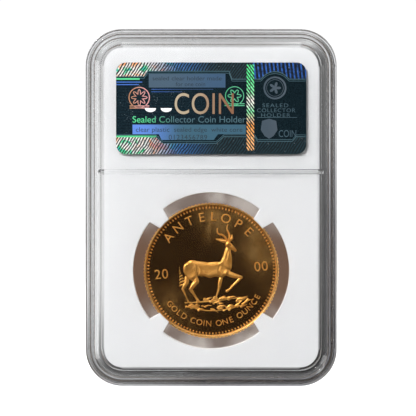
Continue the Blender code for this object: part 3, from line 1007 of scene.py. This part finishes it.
def grassland(material):
    """The tuft of ground under the animal: stones, stems and blades, thrown in an oval by a seeded draw."""
    rng = random.Random(11)
    relief = Relief((-0.52, -0.70), (0.62, -0.34), 0.0034)
    for _ in range(80):
        across, up = rng.uniform(-1, 1), rng.uniform(-1, 1)
        if across ** 2 + up ** 2 > 1:
            continue
        x, y = 0.04 + 0.46 * across, -0.50 + 0.105 * up
        lean = rng.uniform(-0.5, 0.5) + 0.5 * across
        long, thick = rng.uniform(0.04, 0.10), rng.uniform(0.011, 0.021)
        end = (x + long * math.cos(lean), y + long * math.sin(lean) * 0.8)
        bend = ((x + end[0]) / 2, (y + end[1]) / 2 + rng.uniform(0.0, 0.03))
        relief.stroke(curved((x, y), bend, end, thick, 0.004, 4), rng.uniform(0, 0.012), 0.006)
    turf = [(-0.42, -0.445, 0.008), (-0.2, -0.45, 0.014), (0.1, -0.445, 0.012), (0.5, -0.42, 0.007)]
    relief.stroke(turf, 0, 0.008)
    relief.stroke(curved((-0.38, -0.50), (0.02, -0.68), (0.46, -0.52), 0.010, 0.008, 12), 0, 0.008)
    on_coin("ground_relief", relief.mesh(0.17 * MM), material, REAR)


def arc_words(text, height, radius, start, end, depth, edge):
    """Letters along an arc of the coin. height and radius are shares of its radius, the angles degrees."""
    angles = math.radians(start), math.radians(end)
    return on_arc(text, height * COIN_RADIUS, radius * COIN_RADIUS, *angles, depth, edge)


def level_words(text, height, place, depth, edge, spacing=1.0):
    """A straight line of letters on the coin. height and place are shares of its radius."""
    mesh = lettering(text, height * COIN_RADIUS, depth, edge, spacing)
    mesh.transform(Matrix.Translation((place[0] * COIN_RADIUS, place[1] * COIN_RADIUS, 0)))
    return mesh


def legends(material):
    """Plain words and figures, which say only what such a coin is."""
    cut = 0.14 * MM, 0.05 * MM
    words = [
        arc_words("ANTELOPE", 0.14, 0.80, 145, 35, *cut),
        arc_words("GOLD COIN ONE OUNCE", 0.088, 0.775, 211, 329, *cut),
        level_words("20", 0.145, (-0.735, 0.01), *cut, 1.1),
        level_words("00", 0.145, (0.735, 0.01), *cut, 1.1),
    ]
    on_coin("reverse_legend", join(words), material, REAR, 30, COIN_FIELD)


def obverse(material):
    """The unseen face: a wreath round a figure, of plain design."""
    relief = Relief((-0.72, -0.72), (0.72, 0.72), 0.0042)
    sweep = 0.56
    for side in (-1, 1):
        turns = np.linspace(0.12, 2.75, 40)
        relief.stroke([(side * sweep * math.sin(a), -sweep * math.cos(a), 0.012) for a in turns], 0.0, 0.01)
        for step in range(13):
            a = 0.28 + step * 0.19
            start = (side * sweep * math.sin(a), -sweep * math.cos(a))
            for lean, long in ((0.55, 0.15), (-0.55, 0.12)):
                end = (start[0] + side * long * math.cos(a + lean), start[1] + long * math.sin(a + lean))
                bend = ((start[0] + end[0]) / 2 + side * 0.01, (start[1] + end[1]) / 2)
                leaf = enumerate(curved(start, bend, end, 0.010, 0.004, 6))
                leaf = [(x, y, 0.026 * math.sin(math.pi * (i + 0.4) / 7) + 0.003) for i, (x, y, _) in leaf]
                relief.stroke(leaf, 0.004, 0.004)
    on_coin("wreath_relief", relief.mesh(0.2 * MM), material, FRONT)
    cut = 0.12 * MM, 0.03 * MM
    words = [
        level_words("1", 0.42, (0, 0.08), *cut),
        level_words("OUNCE", 0.13, (0, -0.26), *cut, 1.1),
        arc_words("GOLD COIN", 0.11, 0.80, 120, 60, *cut),
    ]
    on_coin("obverse_legend", join(words), material, FRONT, 30, COIN_FIELD)


# --- The security label -------------------------------------------------------------------------------

FOIL_SIZE = Vector((FOIL_HIGH.x - FOIL_LOW.x, FOIL_HIGH.z - FOIL_LOW.z))
FOIL_MATRIX = Matrix.Translation((0, FOIL_LOW.y, (FOIL_LOW.z + FOIL_HIGH.z) / 2)) @ REAR
LAYER = 0.004 * MM
# Thickness of printed artwork, in millimetres
FILM = 0.003


def foil_piece(name, meshes, material, level):
    """Artwork on the label, level layers above it. Its points are in millimetres from the middle."""
    matrix = FOIL_MATRIX @ Matrix.Translation((0, 0, level * LAYER)) @ Matrix.Diagonal((MM, MM, MM, 1))
    show(name, join(meshes), material, "holder", matrix, 30)


def flat(outline):
    return plate(outline, 0, FILM)


def bar(left, low, right, high):
    return flat([(left, low), (right, low), (right, high), (left, high)])


def line(points, width, closed=False):
    return ribbon(points, width, 0, FILM, closed)


def ring(centre, radius, width, steps):
    return line(arc(centre, radius, 0, 2 * math.pi * steps / (steps + 1), steps), width, closed=True)


def words(text, height, centre, y, width=None, spacing=1.0):
    """A line of flat lettering in millimetres, set about its centre, and stretched to width if given."""
    mesh = lettering(text, height, FILM, 0, spacing)
    xs = [v.co.x for v in mesh.vertices]
    low, high = min(xs), max(xs)
    stretch = width / (high - low) if width else 1.0
    place = Matrix.Translation((centre, y, 0)) @ Matrix.Diagonal((stretch, 1, 1, 1))
    mesh.transform(place @ Matrix.Translation((-(low + high) / 2, 0, 0)))
    return mesh


def rosette(centre, radius, petals, inner=0.45):
    """The outline of a star with rounded petals."""
    points = []
    for i in range(petals * 8):
        angle = 2 * math.pi * i / (petals * 8)
        reach = radius * (inner + (1 - inner) * abs(math.cos(petals * angle / 2)) ** 1.6)
        points.append((centre[0] + reach * math.cos(angle), centre[1] + reach * math.sin(angle)))
    return points


def security_label():
    base = plate(rounded_rectangle(*FOIL_SIZE, LABEL_CORNER, 12), -(FOIL_HIGH.y - FOIL_LOW.y), 0, 0.015 * MM)
    piece = show("foil_ground", base, foil_ground(), "holder", FOIL_MATRIX, 30)
    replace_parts(piece, "security_label")
    half_w = FOIL_SIZE.x / 2 / MM
    left = -half_w + 0.05
    emblem = Vector((15.3, 4.9))
    hump = arc(emblem, 3.9, math.radians(142), math.radians(38), 12)
    upper = [
        (half_w, 7.0), (hump[-1][0] + 0.3, 7.0), *reversed(hump), (hump[0][0] - 0.3, 7.0), (5.0, 7.0),
        (4.3, 8.9), (-15.2, 8.9), (-16.2, 7.6), (-half_w, 7.6),
    ]
    lower = [
        (-half_w, -6.7), (-13.4, -6.7), (-11.6, -8.4), (1.2, -8.4), (3.0, -6.8), (10.5, -6.8), (11.1, -7.9),
        (19.5, -7.9), (20.4, -6.8), (half_w, -6.8),
    ]
    foil_piece("foil_plaque", [flat(upper + lower)], dark_plaque(), 1)
    teal = printed("teal_line", (0.045, 0.12, 0.15), (0.06, 0.13, 0.16), (-12, 12))
    paths = [(upper, 0, 0.17), (lower, 0, 0.17), (upper, -0.45, 0.12), (lower, 0.42, 0.12)]
    lines = [line([(x, y + shift) for x, y in path], width) for path, shift, width in paths]
    foil_piece("border_lines", lines, teal, 2)
    green = printed("green_line", (0.08, 0.62, 0.26), (0.03, 0.16, 0.13), (-19, -8), metallic=0.15)
    greens = [bar(left, y, end, y + 0.42) for y, end in ((6.85, -17.2), (-6.95, -13.2))]
    foil_piece("green_bars", greens, green, 3)
    blues = [bar(left, y, end, y + 0.22) for y, end in ((6.2, -16.6), (5.6, -17.4))]
    blues += [bar(-14.4, y, end, y + 0.14) for y, end in ((4.5, 0.5), (3.9, -7.0))]
    foil_piece("blue_bars", blues, printed("blue_line", (0.05, 0.17, 0.62), (0.02, 0.06, 0.16), (-20, -4)), 3)
    steel = printed("steel_banner", (0.06, 0.11, 0.165), (0.04, 0.10, 0.19), (-12, 3))
    foil_piece("upper_banner", [bar(-15.0, 5.0, 3.4, 8.3)], steel, 4)
    azure = printed("azure_banner", (0.12, 0.27, 0.78), (0.04, 0.125, 0.19), (-18, -6))
    tab = [
        (-18.9, -3.9), (-18.9, -6.2), (-12.6, -6.2), (-11.9, -7.6), (0.6, -7.6), (1.6, -6.2), (8.3, -6.2),
        (8.3, -3.9),
    ]
    foil_piece("lower_banner", [flat(tab)], azure, 4)
    small = [
        words("sealed clear holder made", 1.05, -5.8, 7.25, 16.6),
        words("for one coin", 1.05, -5.0, 5.85),
        words("clear plastic  sealed edge  white core", 1.15, -5.3, -5.05, 25.6),
        words("0123456789", 1.25, -5.6, -6.9, spacing=1.1),
    ]
    foil_piece("banner_words", small, printed("banner_ink", (0.012, 0.03, 0.045), metallic=0.1), 5)
    bronze = printed("bronze_letters", (0.46, 0.37, 0.25), (0.25, 0.11, 0.05), (-8, 5), 0.2, 0.4)
    foil_piece("large_word", [words("COIN", 5.3, -1.7, 1.3, 14.2, 1.05)], bronze, 3)
    legend = printed("legend_line", (0.09, 0.70, 0.29), (0.055, 0.13, 0.165), (-18, -8), metallic=0.15)
    foil_piece("legend_words", [words("Sealed Collector Coin Holder", 1.6, -5.3, -2.6, 27.2)], legend, 3)
    copper = printed("copper_rose", (0.50, 0.24, 0.12), (0.75, 0.36, 0.36), (-20, -15), metallic=0.25)
    centre = (-17.3, 2.6)
    bars = [bar(-19.6, y, -14.9, y + 0.24) for y in (0.45, -0.05)]
    star = line(rosette(centre, 1.9, 8), 0.18, closed=True)
    foil_piece("left_rosette", [star, ring(centre, 2.45, 0.22, 35), *bars], copper, 3)
    jade = printed("jade_rose", (0.05, 0.42, 0.18), (0.10, 0.5, 0.26), (2, 6), metallic=0.2)
    centre = (5.6, 3.0)
    bars = [bar(3.2, y, 8.0, y + 0.2) for y in (1.0, 0.55)]
    star = line(rosette(centre, 1.6, 6), 0.18, closed=True)
    foil_piece("right_rosette", [star, ring(centre, 2.2, 0.18, 35), *bars], jade, 2)
    white = printed("white_spots", (0.92, 0.93, 0.95), metallic=0.0, roughness=0.3)
    turns = np.linspace(math.pi, 2 * math.pi, 16)
    half_oval = [(1.35 * math.cos(a), 0.05 + 0.95 * math.sin(a)) for a in turns]
    spots = [flat([(middle + x, y) for x, y in half_oval]) for middle in (-14.6, -10.8)]
    foil_piece("white_spots", spots, white, 4)
    foil_piece("security_strip", [bar(8.5, -10.1, 10.3, 10.5)], security_strip(), 5)
    slate = printed("slate_emblem", (0.055, 0.085, 0.115), (0.08, 0.11, 0.14), (12, 20))
    shield = [
        (13.9, -2.5), (15.6, -3.0), (15.9, -5.2), (15.0, -6.6), (13.9, -7.3), (12.8, -6.6), (11.9, -5.2),
        (12.2, -3.0),
    ]
    rings = [ring(emblem, 2.55, 0.42, 47), ring(emblem, 2.0, 0.12, 47)]
    foil_piece("right_emblems", [*rings, flat(rosette(emblem, 1.5, 5, 0.3)), flat(shield)], slate, 3)
    panel = [
        words("SEALED", 0.95, 15.4, 0.75, 6.2, 1.2),
        words("COLLECTOR", 0.95, 15.6, -0.45, 9.2, 1.15),
        words("HOLDER", 0.85, 15.5, -1.6, 7.0, 1.2),
        words("COIN", 1.75, 18.3, -6.0, 4.2),
        bar(11.0, -2.25, 20.6, -2.12),
    ]
    dusk = printed("dusk_words", (0.06, 0.12, 0.15), (0.045, 0.09, 0.12), (12, 20))
    foil_piece("panel_words", panel, dusk, 3)


# --- The certification label --------------------------------------------------------------------------


def certification_label():
    size = (CARD_HIGH.x - CARD_LOW.x, CARD_HIGH.z - CARD_LOW.z)
    matrix = Matrix.Translation((0, CARD_HIGH.y, (CARD_LOW.z + CARD_HIGH.z) / 2)) @ FRONT
    base = plate(rounded_rectangle(*size, CARD_CORNER, 10), -(CARD_HIGH.y - CARD_LOW.y), 0, 0.02 * MM)
    piece = show("card_base", base, card_stock(), "holder", matrix, 30)
    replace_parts(piece, "certification_label")
    scaled = matrix @ Matrix.Translation((0, 0, LAYER)) @ Matrix.Diagonal((MM, MM, MM, 1))

    def card_piece(name, meshes, material):
        show(name, join(meshes), material, "holder", scaled, 30)

    def frame_line(inset, width):
        sides = (side / MM - 2 * inset for side in size)
        return line(rounded_rectangle(*sides, 1.0, 6), width, closed=True)

    brown = printed("card_brown", (0.16, 0.09, 0.04), metallic=0.0, roughness=0.5)
    black = printed("card_black", (0.02, 0.02, 0.022), metallic=0.0, roughness=0.5)
    gilt = printed("card_gilt", (0.55, 0.36, 0.10), (0.75, 0.55, 0.22), (-20, 20), 0.8, 0.3)
    border = [frame_line(0.9, 0.45), frame_line(1.5, 0.15), flat(rosette((-17.6, 1.5), 3.6, 12, 0.6))]
    card_piece("card_border", border, gilt)
    text = [
        words("GOLD COIN", 2.6, 1.0, 6.2, spacing=1.1),
        words("ONE OUNCE", 2.0, 1.0, 2.4, spacing=1.1),
        words("GRADED AND SEALED", 1.4, 1.0, -0.9, spacing=1.05),
    ]
    card_piece("card_words", text, black)
    rng = random.Random(3)
    bars, x = [], -13.0
    while x < 11.5:
        width = rng.choice((0.16, 0.28, 0.42))
        bars.append(bar(x, -8.2, x + width, -4.4))
        x += width + rng.choice((0.18, 0.3, 0.45))
    bars.append(words("0000000-000", 1.1, -0.6, -9.3))
    card_piece("card_bars", bars, black)
    grade = [words("70", 4.6, 17.6, 1.5), bar(14.0, -3.4, 21.2, -3.1), bar(14.0, 5.6, 21.2, 5.9)]
    card_piece("card_figure", grade, brown)


# --- The stage ----------------------------------------------------------------------------------------


CAMERA_AIM = Vector((-0.78 * MM, 0, SLAB_CENTRE.z - 0.10 * MM))
CAMERA_DISTANCE = 0.75
CARD_AWAY = 1.0


def stage():
    floor = bpy.data.objects.new("floor", plate([(-3, -3), (3, -3), (3, 3), (-3, 3)], -0.01, 0))
    s = Shader("pale_floor")
    s.set(s.surface, {
        "Base Color": s.mix(s.noise(0.002, 2), (0.93, 0.93, 0.93), (0.95, 0.95, 0.95)),
        "Roughness": 0.9,
        "Specular IOR Level": 0.1,
        "Emission Color": (1, 1, 1),
        "Emission Strength": 0.45,
    })
    floor.data.materials.append(s.material)
    bpy.context.scene.collection.objects.link(floor)
    floor.visible_glossy = floor.visible_transmission = False


def tone_towards(s, right, up):
    """The studio's light in a direction across the view: pale to the upper left, dark to the lower right.
    On the backdrop card it is painted light and shade.
    """
    return s.ramp((right * -0.28 + up * 0.40) / s.far(right, up) + 0.5, {
        0.0: 0.05, 0.12: 0.07, 0.24: 0.14, 0.41: 0.15, 0.59: 0.40, 0.76: 1.0, 0.89: 0.66, 1.0: 0.95,
    })


def backdrop():
    """A glowing grey card far behind the slab, seen only through its clear parts: painted light at the upper
    left, painted shade towards the lower right, and painted brown shade, lit from the gold, behind the coin."""
    card = bpy.data.objects.new("painted_light_card", plate(rounded_rectangle(0.36, 0.36, 0.01), 0, 0.0005))
    card.data.transform(Matrix.Translation((0, CARD_AWAY, SLAB_CENTRE.z)) @ REAR)
    s = Shader("painted_light_card")
    x, _, z = s.axes()
    # Where the line of sight to a point on the card crosses the slab, from the camera's aim
    spread = (CAMERA_DISTANCE + CARD_AWAY) / CAMERA_DISTANCE
    u = (x - CAMERA_AIM.x / MM) / spread + CAMERA_AIM.x / MM
    v = (z - CAMERA_AIM.z / MM) / spread
    # painted light and shade: pale towards the upper left, dark towards the lower right
    tone = tone_towards(s, (u / 30) ** 3, (v / 43) ** 3)
    past_x = abs(u) - (SLAB_SIZE.x / 2 - CORNER_RADIUS) / MM
    past_z = abs(v) - (SLAB_SIZE.y / 2 - CORNER_RADIUS) / MM
    outside = s.far(s.larger(past_x, 0.0), s.larger(past_z, 0.0))
    beyond = outside + s.math("MINIMUM", s.larger(past_x, past_z), 0.0)
    inset = s.math("SUBTRACT", CORNER_RADIUS / MM, beyond)
    # painted shade behind the rim's outer band, and paler painted light behind the windows inside the rim
    outer = s.mix(0.75, tone, (0.62, 0.62, 0.63), "MULTIPLY")
    paler = s.mix(s.span(v, -38, 20, 0.45, 0.85), tone, (0.98, 0.98, 1.0))
    grey = s.mix(s.span(inset, 2.9, 3.3), s.mix(s.span(inset, 0.85, 1.2), outer, tone), paler)
    # painted shade behind the coin: brown beside it, greyer above and below it
    up = v - (COIN_CENTRE.z - CAMERA_AIM.z) / MM
    ends = s.mix(s.span(s.noise(0.06, 2), 0.35, 0.65), (0.27, 0.21, 0.18), (0.62, 0.55, 0.50))
    brown = s.mix(s.span(abs(up), 4.0, 17.0), (0.21, 0.12, 0.078), ends)
    colour = s.mix(s.span(s.far(u, up), 21.0, 20.0), grey, brown)
    s.set(s.output, {"Surface": s.value("ShaderNodeEmission", {"Color": colour, "Strength": 1.0})})
    card.data.materials.append(s.material)
    bpy.context.scene.collection.objects.link(card)
    card.visible_camera = card.visible_diffuse = card.visible_glossy = card.visible_shadow = False


def surroundings():
    """A pale studio, dark behind the camera, with a dark flag behind the slab at its lower right."""
    world = bpy.data.worlds.new("studio")
    bpy.context.scene.world = world
    world.use_nodes = True
    s = Nodes(world.node_tree)
    x, y, z = s.axes(s.value("ShaderNodeTexCoord", {}, "Generated"))

    def within(value, outer, inner):
        """1 inside a cone about the axis that value is measured along, given by two angles in degrees."""
        return s.span(value, math.cos(math.radians(outer)), math.cos(math.radians(inner)))

    tone = tone_towards(s, x, z)
    facing = s.mix(1.0, s.mix(0.15, tone, (1.0, 1.0, 1.0)), (0.6, 0.6, 0.6), "MULTIPLY")
    colour = s.mix(s.span(y, -0.12, -0.35), tone, facing)
    colour = s.mix(s.span(z, 0.72, 0.9), colour, (1.1, 1.1, 1.1))
    colour = s.mix(within(y, 7.5, 6), colour, (1.04, 1.04, 1.04))
    colour = s.mix(within(y * -1, 38, 17), colour, (0.028, 0.024, 0.02))
    s.set(s.tree.nodes["Background"], {"Color": colour})


def lights():
    for name, place, size, power in (
        ("key", (-0.27, -0.78, 0.36), 0.13, 2.8),
        ("side", (-0.60, -0.30, 0.25), 0.25, 0.52),
        ("right", (0.55, -0.40, 0.10), 0.25, 0.62),
        ("front_key", (-0.35, 0.65, 0.45), 0.30, 4.0),
    ):
        lamp = bpy.data.lights.new(name, "AREA")
        lamp.size, lamp.energy = size, power
        holder = bpy.data.objects.new(name, lamp)
        holder.location = place
        holder.rotation_euler = (SLAB_CENTRE - Vector(place)).to_track_quat("-Z", "Y").to_euler()
        holder.visible_transmission = False
        bpy.context.scene.collection.objects.link(holder)


def camera():
    """Square on to the rear face, from far enough that the sides don't show."""
    frame_width = 99.9 * MM
    data = bpy.data.cameras.new("camera")
    data.sensor_width = 36
    data.lens = data.sensor_width * CAMERA_DISTANCE / frame_width
    data.clip_start, data.clip_end = 0.05, 20
    made = bpy.data.objects.new("camera", data)
    made.location = CAMERA_AIM - Vector((0, WINDOW_FACE + CAMERA_DISTANCE, 0))
    made.rotation_euler = (math.pi / 2, 0, 0)
    bpy.context.scene.collection.objects.link(made)
    bpy.context.scene.camera = made


camera()
clear = clear_plastic("clear_plastic", (0.97, 0.973, 0.975), 0.008)
rear_shell(clear)
front_shell(clear)
divider_flanks(painted_divider_shadow())
perimeter_weld(clear_plastic("weld_plastic", (0.95, 0.955, 0.96), 0.06))
seam_flash(flash_plastic())
core_insert(white_plastic())
mirror_gold = gold("mirror_gold", (0.95, 0.54, 0.18), 0.05, haze=True)
frosted_gold = gold("frosted_gold", (1.0, 0.50, 0.12), 0.26, frost=0.003)
coin_blank(mirror_gold)
denticles("reverse_denticles", frosted_gold, REAR)
denticles("obverse_denticles", frosted_gold, FRONT)
antelope(frosted_gold)
grassland(frosted_gold)
legends(frosted_gold)
obverse(frosted_gold)
security_label()
certification_label()
stage()
backdrop()
surroundings()
lights()
bpy.context.scene.view_settings.view_transform = "Standard"
